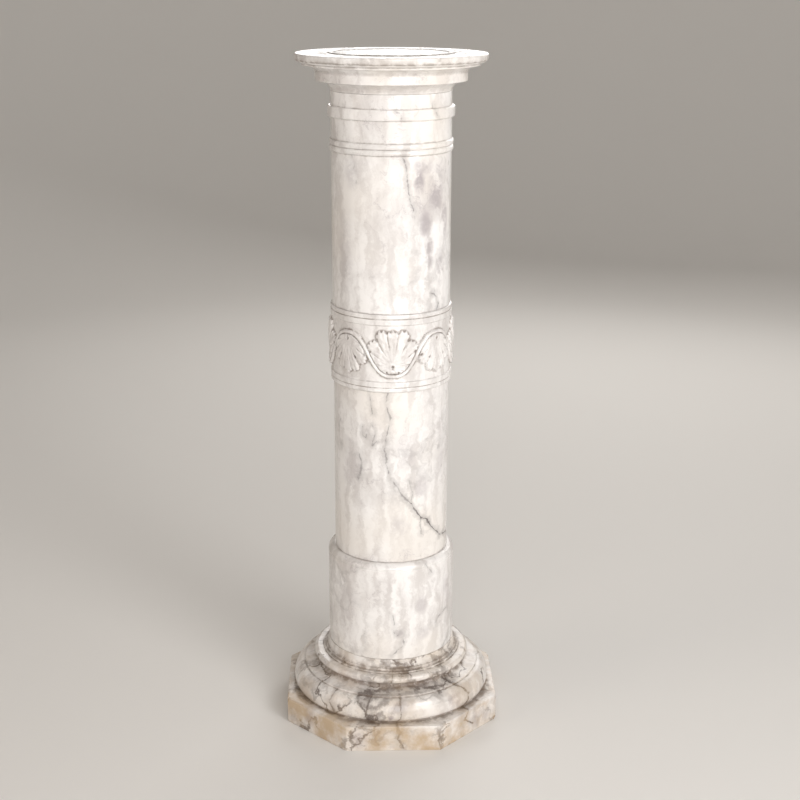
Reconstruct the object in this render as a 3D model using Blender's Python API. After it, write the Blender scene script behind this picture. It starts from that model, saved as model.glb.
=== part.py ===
"""A turned marble pedestal column: octagonal plinth and moulded base, foot drum, two plain shafts parted by a
band carved with a running vine, and a round moulded cap. Metres, +Z up, standing on the floor at the origin.
The front, with an upright leaf in the middle, faces -Y."""

import math

import bmesh
import bpy
from mathutils import Vector, geometry

# Thin dry joint between two stacked blocks
JOINT = 0.0003
# Points closer than this are one point
WELD = 0.000002

# Heights of the base block's mouldings, from the floor up
PLINTH_HEIGHT = 0.0430
QUIRK_HEIGHT = 0.0025
TORUS_HEIGHT = 0.0331
LOW_FILLET_HEIGHT = 0.0029
SCOTIA_HEIGHT = 0.0116
BEAD_HEIGHT = 0.0112
STEP_HEIGHT = 0.0024
HIGH_FILLET_HEIGHT = 0.0040
COVE_HEIGHT = 0.0133

# Heights of the blocks above the base
DRUM_HEIGHT = 0.1640
LOWER_SHAFT_HEIGHT = 0.2814
UPPER_SHAFT_HEIGHT = 0.3226

# Heights on the carved band. A border has a bead on its outer side, then a groove, a flat and a slope.
BORDER_BEAD_HEIGHT = 0.0066
BORDER_GROOVE_HEIGHT = 0.0012
BORDER_FLAT_HEIGHT = 0.0078
BORDER_SLOPE_HEIGHT = 0.0024
FRIEZE_HEIGHT = 0.0846

# Heights of the cap's mouldings, from its foot up
CAP_COVE_HEIGHT = 0.0147
FASCIA_HEIGHT = 0.0121
CAVETTO_HEIGHT = 0.0102
CAP_FILLET_HEIGHT = 0.0034
UNDER_RIM_HEIGHT = 0.0035
RIM_HEIGHT = 0.0100

# Radii of the shafts at their tops, and how much thicker each is at its foot
LOWER_SHAFT_RADIUS = 0.0904
UPPER_SHAFT_RADIUS = 0.0912
SHAFT_TAPER = 0.0004

# How far each moulding of the base stands out past the one above it, from the drum outwards
DRUM_PROJECTION = 0.0113
SEAT_LIP = 0.0010
COVE_PROJECTION = 0.0052
HIGH_FILLET_PROJECTION = 0.0042
BEAD_PROJECTION = 0.0147
SCOTIA_PROJECTION = 0.0161
TORUS_PROJECTION = 0.0184
PLINTH_MARGIN = 0.0096

# How far hollows and necks draw in
SCOTIA_DEPTH = 0.0060
BEAD_NECK = 0.0050
TORUS_NECK = 0.0035
TORUS_WIDEST = 0.0068

# The octagon's four main sides are a little wider than its corner cuts
PLINTH_FLAT = 0.1500
PLINTH_ARRIS = 0.0014

# Rounded shoulder of the drum, with a fine groove under it
SHOULDER_HEIGHT = 0.0092
SHOULDER_LIP = 0.0012
GROOVE_HEIGHT = 0.0016
GROOVE_DEPTH = 0.0007

# Turned rings on the upper shaft: heights from its foot, and projections from the shaft
PAIRED_RING_FOOT = 0.2352
PAIRED_RING_HEIGHT = 0.0178
PAIRED_RING_PROJECTION = 0.0030
SINGLE_RING_FOOT = 0.2855
SINGLE_RING_HEIGHT = 0.0162
SINGLE_RING_PROJECTION = 0.0046
RING_EDGE = 0.0024

# Borders and ground of the carved band
BORDER_PROJECTION = 0.0042
BORDER_GROOVE_DEPTH = 0.0010
GROUND_PROJECTION = 0.0022

# Running vine: its waves round the band, and the stem's width and relief
VINE_WAVES = 4
VINE_SWING = 0.0321
VINE_LOWERED = 0.0030
VINE_SQUARENESS = 0.30
STEM_WIDTH = 0.0058
STEM_CREST_SHARE = 0.5
STEM_RELIEF = 0.0044

# Leaves: reach from a leaf's heart to its tip, relief, and the hearts' distance from the frieze's edges
LEAF_REACH = 0.0540
HANGING_LEAF_REACH = 0.0490
LEAF_RIDGE_RELIEF = 0.0062
LEAF_FOLD_RELIEF = 0.0030
LEAF_EDGE_RELIEF = 0.0034
LEAF_EYE_RELIEF = 0.0020
LEAF_WALL = 0.0008
LEAF_ROOT_INSET = 0.0225
BUD_RADIUS = 0.0042

# Half a leaf from its tip round to its stalk: angle in degrees, reach as a share of the leaf's, and ridge,
# which is 1 on a lobe's middle line and 0 in a fold
HALF_LEAF = (
    (0, 1.00, 1.0), (8, 0.95, 0.7), (17, 1.05, 0.6), (24, 0.98, 0.3), (30, 0.84, 0.0), (36, 0.93, 0.5),
    (42, 0.95, 1.0), (51, 0.81, 0.4), (58, 0.55, 0.0), (68, 0.62, 1.0), (80, 0.50, 0.5), (94, 0.32, 0.0),
    (125, 0.22, 0.4), (160, 0.16, 0.2),
)

# Cap: how far each moulding stands out past the shaft or the moulding below it
CAP_COVE_PROJECTION = 0.0228
CAVETTO_PROJECTION = 0.0193
UNDER_RIM_PROJECTION = 0.0086
RIM_PROJECTION = 0.0024
RIM_EDGE = 0.0016
TOP_DISC_RADIUS = 0.0935
TOP_DISC_RISE = 0.0011

# Facets round the turned blocks, along a curved moulding and along one wave of the stem, rows of points on
# the bare ground of the frieze, and how far they keep from the carving
SIDES = 48
CURVE_STEPS = 3
STEM_STEPS = 14
GROUND_ROWS = 3
GROUND_CLEARANCE = 0.003

# Radii that follow from the sizes above
LOWER_SHAFT_FOOT_RADIUS = LOWER_SHAFT_RADIUS + SHAFT_TAPER
UPPER_SHAFT_FOOT_RADIUS = UPPER_SHAFT_RADIUS + SHAFT_TAPER
DRUM_RADIUS = LOWER_SHAFT_FOOT_RADIUS + DRUM_PROJECTION
SEAT_RADIUS = DRUM_RADIUS + SEAT_LIP
COVE_RADIUS = SEAT_RADIUS + COVE_PROJECTION
HIGH_FILLET_RADIUS = COVE_RADIUS + HIGH_FILLET_PROJECTION
BEAD_RADIUS = HIGH_FILLET_RADIUS + BEAD_PROJECTION
LOW_FILLET_RADIUS = BEAD_RADIUS + SCOTIA_PROJECTION
TORUS_RADIUS = LOW_FILLET_RADIUS + TORUS_PROJECTION
PLINTH_HALF = TORUS_RADIUS + PLINTH_MARGIN
GROUND_RADIUS = LOWER_SHAFT_RADIUS + GROUND_PROJECTION
BORDER_RADIUS = LOWER_SHAFT_RADIUS + BORDER_PROJECTION
BORDER_NECK = (GROUND_RADIUS + BORDER_RADIUS) / 2
FASCIA_RADIUS = UPPER_SHAFT_RADIUS + CAP_COVE_PROJECTION
CAP_FILLET_RADIUS = FASCIA_RADIUS + CAVETTO_PROJECTION
UNDER_RIM_RADIUS = CAP_FILLET_RADIUS + UNDER_RIM_PROJECTION
RIM_RADIUS = UNDER_RIM_RADIUS + RIM_PROJECTION

# Levels that follow from the sizes above
MOULDING_HEIGHTS = (
    QUIRK_HEIGHT + TORUS_HEIGHT + LOW_FILLET_HEIGHT + SCOTIA_HEIGHT + BEAD_HEIGHT
    + STEP_HEIGHT + HIGH_FILLET_HEIGHT + COVE_HEIGHT
)
DRUM_FOOT = PLINTH_HEIGHT + MOULDING_HEIGHTS + JOINT
LOWER_SHAFT_FOOT = DRUM_FOOT + DRUM_HEIGHT + JOINT
BAND_FOOT = LOWER_SHAFT_FOOT + LOWER_SHAFT_HEIGHT + JOINT
BORDER_HEIGHT = BORDER_BEAD_HEIGHT + BORDER_GROOVE_HEIGHT + BORDER_FLAT_HEIGHT + BORDER_SLOPE_HEIGHT
FRIEZE_FOOT = BORDER_HEIGHT
FRIEZE_TOP = FRIEZE_FOOT + FRIEZE_HEIGHT
BAND_HEIGHT = FRIEZE_TOP + BORDER_HEIGHT
UPPER_SHAFT_FOOT = BAND_FOOT + BAND_HEIGHT + JOINT
CAP_FOOT = UPPER_SHAFT_FOOT + UPPER_SHAFT_HEIGHT + JOINT


def clear_scene():
    for leftover in list(bpy.data.objects):
        bpy.data.objects.remove(leftover, do_unlink=True)


def marble(name, colour, roughness):
    material = bpy.data.materials.new(name)
    material.use_nodes = True
    shader = material.node_tree.nodes["Principled BSDF"]
    shader.inputs["Base Color"].default_value = (*colour, 1.0)
    shader.inputs["Roughness"].default_value = roughness
    shader.inputs["Metallic"].default_value = 0.0
    return material


def quarter_curve(start, end, rises_first, steps=CURVE_STEPS):
    """Quarter ellipse between two (radius, height) points, without its start. It leaves the start upright and
    arrives level, or the other way round."""
    points = []
    for step in range(1, steps + 1):
        turn = math.pi / 2 * step / steps
        slow, quick = 1 - math.cos(turn), math.sin(turn)
        across, along = (slow, quick) if rises_first else (quick, slow)
        points.append((start[0] + (end[0] - start[0]) * across, start[1] + (end[1] - start[1]) * along))
    return points


def half_round(neck_radius, full_radius, low, high, steps=CURVE_STEPS):
    """Bulging moulding from its lower neck to its upper neck, both ends included."""
    points = []
    for step in range(2 * steps + 1):
        turn = math.pi * step / (2 * steps)
        bulge = neck_radius + (full_radius - neck_radius) * math.sin(turn)
        points.append((bulge, (low + high) / 2 - (high - low) / 2 * math.cos(turn)))
    return points


def mesh_object(name, mesh_code, foot, material, smooth_angle):
    """Gives a finished bmesh an object of its own, standing at a height."""
    bmesh.ops.recalc_face_normals(mesh_code, faces=mesh_code.faces)
    mesh = bpy.data.meshes.new(name)
    mesh_code.to_mesh(mesh)
    mesh_code.free()
    mesh.shade_smooth()
    mesh.set_sharp_from_angle(angle=smooth_angle)
    mesh.materials.append(material)
    piece = bpy.data.objects.new(name, mesh)
    piece.location = (0.0, 0.0, foot)
    bpy.context.scene.collection.objects.link(piece)
    return piece


def spin_outline(mesh_code, outline):
    """Turns a (radius, height) outline round the axis, as an open shell."""
    points = [mesh_code.verts.new((radius, 0.0, height)) for radius, height in outline]
    edges = [mesh_code.edges.new(pair) for pair in zip(points, points[1:])]
    bmesh.ops.spin(
        mesh_code, geom=points + edges, axis=(0, 0, 1), cent=(0, 0, 0), angle=2 * math.pi, steps=SIDES,
        use_merge=True,
    )


def close_ends(mesh_code):
    """Fills the two open rims of a turned shell with flat faces."""
    rims = [edge for edge in mesh_code.edges if edge.is_boundary]
    bmesh.ops.holes_fill(mesh_code, edges=rims, sides=0)


def turned(name, outline, foot, material):
    """Block turned round the axis from its outline, with flat ends."""
    mesh_code = bmesh.new()
    spin_outline(mesh_code, outline)
    close_ends(mesh_code)
    return mesh_object(name, mesh_code, foot, material, math.radians(35))


def plinth(material):
    """Octagonal slab with softened arrises."""
    half, flat = PLINTH_HALF, PLINTH_FLAT / 2
    corners = []
    for turn in range(4):
        cos, sin = round(math.cos(turn * math.pi / 2)), round(math.sin(turn * math.pi / 2))
        for along in (-flat, flat):
            corners.append((along * cos + half * sin, along * sin - half * cos))
    mesh_code = bmesh.new()
    underside = mesh_code.faces.new([mesh_code.verts.new((x, y, 0.0)) for x, y in corners])
    raised = bmesh.ops.extrude_face_region(mesh_code, geom=[underside])["geom"]
    upper = [item for item in raised if isinstance(item, bmesh.types.BMVert)]
    bmesh.ops.translate(mesh_code, verts=upper, vec=(0, 0, PLINTH_HEIGHT))
    bmesh.ops.bevel(
        mesh_code, geom=list(mesh_code.edges), offset=PLINTH_ARRIS, segments=1, affect="EDGES",
    )
    return mesh_object("base", mesh_code, 0.0, material, math.radians(20))


def base_outline():
    """Mouldings of the base, from inside the plinth up to the drum's seat."""
    neck = TORUS_RADIUS - TORUS_NECK
    level = PLINTH_HEIGHT
    outline = [(neck, level / 2), (neck, level + QUIRK_HEIGHT)]
    level += QUIRK_HEIGHT
    outline += quarter_curve(outline[-1], (TORUS_RADIUS, level + TORUS_WIDEST), rises_first=False, steps=2)
    level += TORUS_HEIGHT
    outline += quarter_curve(outline[-1], (LOW_FILLET_RADIUS, level), rises_first=True, steps=CURVE_STEPS + 1)
    outline += [(LOW_FILLET_RADIUS, level + LOW_FILLET_HEIGHT)]
    level += LOW_FILLET_HEIGHT
    hollow = (BEAD_RADIUS - SCOTIA_DEPTH, level + SCOTIA_HEIGHT * 0.62)
    outline += quarter_curve(outline[-1], hollow, rises_first=False)
    level += SCOTIA_HEIGHT
    bead_neck = BEAD_RADIUS - BEAD_NECK
    outline += [(bead_neck, level)]
    outline += half_round(bead_neck, BEAD_RADIUS, level, level + BEAD_HEIGHT, steps=2)[1:-1]
    level += BEAD_HEIGHT
    outline += [(HIGH_FILLET_RADIUS, level), (HIGH_FILLET_RADIUS, level + STEP_HEIGHT)]
    level += STEP_HEIGHT
    outline += [(COVE_RADIUS, level), (COVE_RADIUS, level + HIGH_FILLET_HEIGHT)]
    level += HIGH_FILLET_HEIGHT
    outline += quarter_curve(outline[-1], (SEAT_RADIUS, level + COVE_HEIGHT), rises_first=False)
    return outline


def drum_outline():
    """Plain drum with a fine groove under its rounded shoulder."""
    shoulder_foot = DRUM_HEIGHT - SHOULDER_HEIGHT
    groove_foot = shoulder_foot - GROOVE_HEIGHT
    lip = LOWER_SHAFT_FOOT_RADIUS + SHOULDER_LIP
    outline = [
        (DRUM_RADIUS, 0.0),
        (DRUM_RADIUS, groove_foot),
        (DRUM_RADIUS - GROOVE_DEPTH, (groove_foot + shoulder_foot) / 2),
        (DRUM_RADIUS - GROOVE_DEPTH / 2, shoulder_foot),
    ]
    return outline + quarter_curve(outline[-1], (lip, DRUM_HEIGHT), rises_first=True)


def ring(shaft_radius, foot, height, projection):
    """Raised band turned on a shaft, with sloping edges."""
    full = shaft_radius + projection
    edge = min(RING_EDGE, height / 3)
    outline = [(shaft_radius, foot), (full, foot + edge), (full, foot + height - edge)]
    return outline + [(shaft_radius, foot + height)]


def upper_shaft_outline():
    """Shaft with a pair of beads, and a single wider ring above them."""
    top = UPPER_SHAFT_RADIUS
    groove = PAIRED_RING_FOOT + PAIRED_RING_HEIGHT / 2
    outline = [(UPPER_SHAFT_FOOT_RADIUS, 0.0)]
    for foot in (PAIRED_RING_FOOT, groove):
        bead = half_round(top, top + PAIRED_RING_PROJECTION, foot, foot + PAIRED_RING_HEIGHT / 2, steps=2)
        outline += bead if foot == PAIRED_RING_FOOT else bead[1:]
    outline += ring(top, SINGLE_RING_FOOT, SINGLE_RING_HEIGHT, SINGLE_RING_PROJECTION)
    return outline + [(top, UPPER_SHAFT_HEIGHT)]


def cap_outline():
    """Cove, fascia and cavetto under a projecting rim, with a slightly raised disc on top."""
    level = CAP_COVE_HEIGHT
    outline = [(UPPER_SHAFT_RADIUS, 0.0)]
    outline += quarter_curve(outline[-1], (FASCIA_RADIUS, level), rises_first=True)
    level += FASCIA_HEIGHT
    outline += [(FASCIA_RADIUS, level)]
    level += CAVETTO_HEIGHT
    outline += quarter_curve(outline[-1], (CAP_FILLET_RADIUS, level), rises_first=True, steps=3)
    level += CAP_FILLET_HEIGHT
    outline += [(CAP_FILLET_RADIUS, level)]
    level += UNDER_RIM_HEIGHT
    outline += quarter_curve(outline[-1], (UNDER_RIM_RADIUS, level), rises_first=False, steps=2)
    level += RIM_HEIGHT
    outline += [(RIM_RADIUS, level - RIM_EDGE), (RIM_RADIUS - RIM_EDGE, level)]
    outline += [(TOP_DISC_RADIUS + TOP_DISC_RISE, level), (TOP_DISC_RADIUS, level + TOP_DISC_RISE)]
    return outline


def border(foot, upright):
    """Border of the frieze: a bead on its outer side, a groove, a flat, and a slope down to the carving."""
    groove_radius = BORDER_RADIUS - BORDER_GROOVE_DEPTH
    groove = BORDER_BEAD_HEIGHT + BORDER_GROOVE_HEIGHT / 2
    flat_foot = BORDER_BEAD_HEIGHT + BORDER_GROOVE_HEIGHT
    flat_top = flat_foot + BORDER_FLAT_HEIGHT
    outline = half_round(BORDER_NECK, BORDER_RADIUS, 0.0, BORDER_BEAD_HEIGHT, steps=2)[:-1]
    outline += [(groove_radius, groove), (BORDER_RADIUS, flat_foot), (BORDER_RADIUS, flat_top)]
    outline += [(GROUND_RADIUS, BORDER_HEIGHT)]
    if not upright:
        outline = [(radius, BORDER_HEIGHT - level) for radius, level in reversed(outline)]
    return [(radius, foot + level) for radius, level in outline]


def on_frieze(across, up, relief):
    """Wraps a place on the unrolled frieze round the band. Across is measured from the front to the right."""
    angle = across / GROUND_RADIUS
    radius = GROUND_RADIUS + relief
    return Vector((radius * math.sin(angle), -radius * math.cos(angle), up))


def stem_middle(across):
    """Height of the stem's middle line: low at the front, high halfway to the next wave."""
    wave = -math.cos(VINE_WAVES * across / GROUND_RADIUS)
    squared = wave * (1 + VINE_SQUARENESS * (1 - wave * wave))
    return (FRIEZE_FOOT + FRIEZE_TOP) / 2 - VINE_LOWERED + VINE_SWING * squared


def stem_half_height(across):
    """Half of the stem's width measured straight up, which grows where the stem runs steeply."""
    nudge = STEM_WIDTH / 8
    slope = (stem_middle(across + nudge) - stem_middle(across - nudge)) / (2 * nudge)
    return STEM_WIDTH / 2 * math.hypot(1.0, slope)


def stem_relief(across, up):
    aside = abs(up - stem_middle(across)) / stem_half_height(across)
    return STEM_RELIEF * min(1.0, max(0.0, (1.0 - aside) / (1.0 - STEM_CREST_SHARE)))


def leaf_outline():
    """The whole leaf's outline, from the left of the stalk round the tip to the right of the stalk."""
    left = [(-angle, share, ridge) for angle, share, ridge in reversed(HALF_LEAF[1:])]
    return left + list(HALF_LEAF)


def leaves():
    """(across, up, direction of tip, reach) of each leaf: upright over a trough, hanging under a crest."""
    wave_length = 2 * math.pi * GROUND_RADIUS / VINE_WAVES
    for wave in range(VINE_WAVES):
        yield wave * wave_length, FRIEZE_FOOT + LEAF_ROOT_INSET, 1.0, LEAF_REACH
        yield (wave + 0.5) * wave_length, FRIEZE_TOP - LEAF_ROOT_INSET, -1.0, HANGING_LEAF_REACH


def outline_at(angle):
    """(share, ridge) of the leaf's outline at any angle, between the two nearest points of it."""
    outline = leaf_outline()
    first, last = outline[0], outline[-1]
    outline = [(last[0] - 360, *last[1:])] + outline + [(first[0] + 360, *first[1:])]
    for before, after in zip(outline, outline[1:]):
        if before[0] <= angle <= after[0]:
            mix = (angle - before[0]) / (after[0] - before[0])
            return tuple(before[k] + (after[k] - before[k]) * mix for k in (1, 2))
    return outline[0][1:]


def leaf_relief(across, up, leaf):
    """Height of a leaf's face: low at its eye, rising to ridges and folds halfway out, with steep edges."""
    heart_across, heart_up, direction, reach = leaf
    share, ridge = outline_at(math.degrees(math.atan2(across, direction * up)))
    distance = math.hypot(across, up)
    edge = reach * share
    crest = LEAF_FOLD_RELIEF + (LEAF_RIDGE_RELIEF - LEAF_FOLD_RELIEF) * ridge
    if distance <= edge / 2:
        return LEAF_EYE_RELIEF + (crest - LEAF_EYE_RELIEF) * distance / (edge / 2)
    if distance <= edge - LEAF_WALL:
        return crest + (LEAF_EDGE_RELIEF - crest) * (distance - edge / 2) / (edge / 2 - LEAF_WALL)
    return LEAF_EDGE_RELIEF * max(0.0, (edge - distance) / LEAF_WALL)


def buds():
    """(across, up) of the round bud between each leaf's heart and the stem."""
    for heart_across, heart_up, direction, reach in leaves():
        yield heart_across, (heart_up + stem_middle(heart_across)) / 2


def relief_at(across, up):
    """Height of the carving over the ground at a place on the unrolled frieze."""
    around = 2 * math.pi * GROUND_RADIUS
    highest = stem_relief(across, up)
    for leaf in leaves():
        aside = (across - leaf[0] + around / 2) % around - around / 2
        if math.hypot(aside, up - leaf[1]) < 1.2 * leaf[3]:
            highest = max(highest, leaf_relief(aside, up - leaf[1], leaf))
    for bud_across, bud_up in buds():
        aside = (across - bud_across + around / 2) % around - around / 2
        inside = BUD_RADIUS**2 - aside**2 - (up - bud_up) ** 2
        highest = max(highest, math.sqrt(max(0.0, inside)))
    return highest


def frieze_lines():
    """Closed and open lines on the unrolled frieze that the carved surface has to follow."""
    around = 2 * math.pi * GROUND_RADIUS
    start = -around / VINE_WAVES / 4
    columns = [start + around * step / SIDES for step in range(SIDES + 1)]
    frame = [(across, FRIEZE_FOOT) for across in columns]
    frame += [(across, FRIEZE_TOP) for across in reversed(columns)]
    yield frame, True
    stem = [start + around * step / (VINE_WAVES * STEM_STEPS) for step in range(VINE_WAVES * STEM_STEPS + 1)]
    for side in (-1.0, -STEM_CREST_SHARE, STEM_CREST_SHARE, 1.0):
        yield [(across, stem_middle(across) + side * stem_half_height(across)) for across in stem], False
    for heart_across, heart_up, direction, reach in leaves():
        for out, wall in ((0.5, 0.0), (1.0, LEAF_WALL), (1.0, 0.0)):
            loop = []
            for angle, share, ridge in leaf_outline():
                turn, distance = math.radians(angle), out * reach * share - wall
                across = heart_across + distance * math.sin(turn)
                loop.append((across, heart_up + direction * distance * math.cos(turn)))
            yield loop, True
        yield [(heart_across, heart_up)], False
    for bud_across, bud_up in buds():
        for radius in (BUD_RADIUS, BUD_RADIUS * 0.7):
            turns = [math.pi * step / 3 for step in range(6)]
            yield [(bud_across + radius * math.cos(t), bud_up + radius * math.sin(t)) for t in turns], True
        yield [(bud_across, bud_up)], False
    for across in columns[1:-1]:
        for row in range(1, GROUND_ROWS + 1):
            up = FRIEZE_FOOT + FRIEZE_HEIGHT * row / (GROUND_ROWS + 1)
            aside = (-GROUND_CLEARANCE, GROUND_CLEARANCE)
            around_it = [(across + right, up + higher) for right in aside for higher in aside]
            if max(relief_at(*place) for place in around_it) == 0.0:
                yield [(across, up)], False


def frieze_sheet(mesh_code):
    """Triangulates the unrolled frieze along its lines and wraps it round the band."""
    places, edges = [], []
    for line, closed in frieze_lines():
        first = len(places)
        places += [Vector(place) for place in line]
        for step in range(len(line) if closed else len(line) - 1):
            edges.append((first + step, first + (step + 1) % len(line)))
    flat, _, triangles, *_ = geometry.delaunay_2d_cdt(places, edges, [], 0, 1e-7)
    corners = []
    for across, up in flat:
        corners.append(mesh_code.verts.new(on_frieze(across, up, relief_at(across, up))))
    for triangle in triangles:
        mesh_code.faces.new([corners[corner] for corner in triangle])


def base(material):
    """Plinth and mouldings, cut from one block."""
    slab = plinth(material)
    mouldings = turned("base_mouldings", base_outline(), 0.0, material)
    mouldings.hide_render = True
    mouldings.display_type = "WIRE"
    union = slab.modifiers.new("mouldings", "BOOLEAN")
    union.operation = "UNION"
    union.object = mouldings
    union.solver = "EXACT"


def vine_band(material):
    """Two turned borders with the carved frieze between them."""
    mesh_code = bmesh.new()
    for outline in (border(0.0, True), border(FRIEZE_TOP, False)):
        spin_outline(mesh_code, outline)
    frieze_sheet(mesh_code)
    bmesh.ops.remove_doubles(mesh_code, verts=mesh_code.verts, dist=WELD)
    close_ends(mesh_code)
    mesh_object("vine_band", mesh_code, BAND_FOOT, material, math.radians(35))


def main():
    clear_scene()
    white = marble("white_marble", (0.74, 0.71, 0.68), 0.30)
    stained = marble("stained_marble", (0.60, 0.53, 0.46), 0.36)
    base(stained)
    turned("foot_drum", drum_outline(), DRUM_FOOT, white)
    lower_shaft = [(LOWER_SHAFT_FOOT_RADIUS, 0.0), (LOWER_SHAFT_RADIUS, LOWER_SHAFT_HEIGHT)]
    turned("lower_shaft", lower_shaft, LOWER_SHAFT_FOOT, white)
    vine_band(white)
    turned("upper_shaft", upper_shaft_outline(), UPPER_SHAFT_FOOT, white)
    turned("cap", cap_outline(), CAP_FOOT, white)


main()
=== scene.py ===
"""Looks of a marble pedestal column. Every packed block is modelled again in full detail: turned mouldings
with worn arrises and chips, a band carved with a running vine, and veined marble with brown dirt and painted
shade in its hollows and a painted dark reflection on the top of its cap."""

import math
import random

import bpy
import numpy as np
from mathutils import Matrix, Vector


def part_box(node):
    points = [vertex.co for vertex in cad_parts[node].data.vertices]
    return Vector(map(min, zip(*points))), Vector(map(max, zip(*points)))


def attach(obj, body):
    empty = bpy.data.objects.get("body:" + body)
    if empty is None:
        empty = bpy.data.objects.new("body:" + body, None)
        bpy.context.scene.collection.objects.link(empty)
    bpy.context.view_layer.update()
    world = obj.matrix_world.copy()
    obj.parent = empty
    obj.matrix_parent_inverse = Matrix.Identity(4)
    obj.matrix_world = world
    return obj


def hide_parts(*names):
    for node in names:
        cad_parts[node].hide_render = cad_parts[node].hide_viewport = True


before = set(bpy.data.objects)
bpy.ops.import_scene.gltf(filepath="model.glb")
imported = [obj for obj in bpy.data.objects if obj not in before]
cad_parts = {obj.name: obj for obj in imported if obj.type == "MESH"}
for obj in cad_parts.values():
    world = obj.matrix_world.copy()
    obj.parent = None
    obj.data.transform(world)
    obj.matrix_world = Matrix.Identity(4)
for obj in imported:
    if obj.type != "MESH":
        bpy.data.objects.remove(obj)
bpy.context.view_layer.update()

MM = 0.001

# Facets round a turned block, along each of its curved mouldings, and along its smallest roundings
TURNED_SIDES = 192
CURVE_STEPS = 8
SMALL_STEPS = 4

# How far from both ends of a long straight part of an outline rows are added, and how long is long
DIRT_AND_SHADE_ROWS = (0.8 * MM, 2.4 * MM)
LONG_STRAIGHT = 7 * MM

# Dirt and painted shade: how far they reach out of an inner corner, the turn in radians past which a sharper
# corner gets no darker, and the legs of a corner where two blocks meet
DIRT_AND_SHADE_REACH = 1.6 * MM
PLINTH_DIRT_AND_SHADE_REACH = 2.4 * MM
BORDER_DIRT_AND_SHADE_REACH = 0.7 * MM
DEEPEST_TURN = 0.8
JOINT_LEG = 1 * MM

# Widths of the worn arrises, the angle in degrees from which an arris wears, and the angle in degrees up to
# which two faces look like one round surface
PLINTH_WEAR = 1.6 * MM
MOULDINGS_WEAR = 0.5 * MM
DRUM_WEAR = 0.2 * MM
LOWER_SHAFT_WEAR = 0.7 * MM
UPPER_SHAFT_WEAR = 0.5 * MM
CAP_WEAR = 0.4 * MM
WORN_ANGLE = 28
ROUND_ANGLE = 32
CARVED_ANGLE = 50

# Least and greatest reach of a crumpled flake's corners
FLAKE_REACH = (0.78, 1.12)

# Base block: heights of its mouldings from the top of the plinth up
QUIRK_HEIGHT = 2.5 * MM
TORUS_HEIGHT = 33.1 * MM
LOW_FILLET_HEIGHT = 2.9 * MM
SCOTIA_HEIGHT = 11.6 * MM
BEAD_HEIGHT = 11.2 * MM
STEP_HEIGHT = 2.4 * MM
HIGH_FILLET_HEIGHT = 4.0 * MM
COVE_HEIGHT = 13.3 * MM

# Base block: how far each moulding stands out past the one above it, from the drum outwards
SEAT_LIP = 1.0 * MM
COVE_PROJECTION = 5.2 * MM
HIGH_FILLET_PROJECTION = 4.2 * MM
BEAD_PROJECTION = 14.7 * MM
SCOTIA_PROJECTION = 16.1 * MM
TORUS_PROJECTION = 18.4 * MM
SCOTIA_DEPTH = 6.0 * MM
SCOTIA_HOLLOW_SHARE = 0.62
BEAD_NECK = 5.0 * MM
TORUS_NECK = 3.5 * MM
TORUS_WIDEST = 6.8 * MM
PLINTH_FLAT = 150.0 * MM

# Drum
SHOULDER_HEIGHT = 9.2 * MM
SHOULDER_LIP = 1.2 * MM
DRUM_GROOVE_HEIGHT = 1.6 * MM
DRUM_GROOVE_DEPTH = 0.7 * MM

# Shafts
SHAFT_TAPER = 0.4 * MM
PAIRED_RING_FOOT = 235.2 * MM
PAIRED_RING_HEIGHT = 17.8 * MM
PAIRED_RING_PROJECTION = 3.0 * MM
SINGLE_RING_FOOT = 285.5 * MM
SINGLE_RING_HEIGHT = 16.2 * MM
SINGLE_RING_PROJECTION = 4.6 * MM
SINGLE_RING_SQUARE = SINGLE_RING_PROJECTION * 0.6
SINGLE_RING_ROUNDED = SINGLE_RING_PROJECTION * 0.4
SINGLE_RING_EDGE = 2.4 * MM

# Carved band
GROUND_PROJECTION = 2.2 * MM
BORDER_PROJECTION = 4.2 * MM
BORDER_BEAD_HEIGHT = 6.6 * MM
BORDER_GROOVE_HEIGHT = 1.2 * MM
BORDER_GROOVE_DEPTH = 1.0 * MM
BORDER_FLAT_HEIGHT = 7.8 * MM
BORDER_SLOPE_HEIGHT = 2.4 * MM
# How much dirt and painted shade the inner corners of the borders get
BORDER_DIRT_AND_SHADE = 0.8

# Grid that the vine is carved from: columns and rows, how near points of its seam are merged and points of
# its edges are found, and the share of its height over which the relief fades out at both edges
BAND_COLUMNS = 640
BAND_ROWS = 100
SEAM_DISTANCE = 0.02 * MM
LEVEL_DISTANCE = 0.01 * MM
RELIEF_FADE = 0.012
DEEPEST_CUT = 1.2 * MM
TOOL_MARK_DEPTH = 0.12 * MM

# Dirt and painted shade on the carving: the dirt on its ground, the depth of a hollow that is fully shaded,
# and how often the relief is blurred to find the hollows
GROUND_GRIME = 0.08
HOLLOW_DEPTH = 1.5 * MM
HOLLOW_BLUR = 6

# Vine on the band
VINE_WAVES = 4
VINE_SWING = 32.1 * MM
VINE_LOWERED = 3.0 * MM
VINE_SQUARENESS = 0.30
STEM_WIDTH = 5.8 * MM
STEM_RELIEF = 4.4 * MM
STEM_GAP = 1.5 * MM
LEAF_ROOT_INSET = 22.5 * MM

# Blade of a leaf: its relief at the heart, how much it lifts to its edge, swells between and rounds off there
BLADE_RELIEF = 2.8 * MM
BLADE_LIFT = 1.2 * MM
BLADE_SWELL = 8.5 * MM
BLADE_ROUNDING = 1.3 * MM
BLADE_LEAST = 0.1 * MM

# Lobes of a leaf: where one ends in half spreads, how its tip rounds, its teeth, and its folds and ribs
LOBE_END = 1.7
LOBE_DROOP = 0.13
LOBE_POWER = 2.2
TEETH_ROUND = 52
TOOTH_SHARE = 0.028
FOLD_SHARE = 0.42
RIB_DEPTH = 0.55 * MM
RIB_WIDTH = 7.5 * MM
RIPPLE_DEPTH = 0.26 * MM

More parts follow.
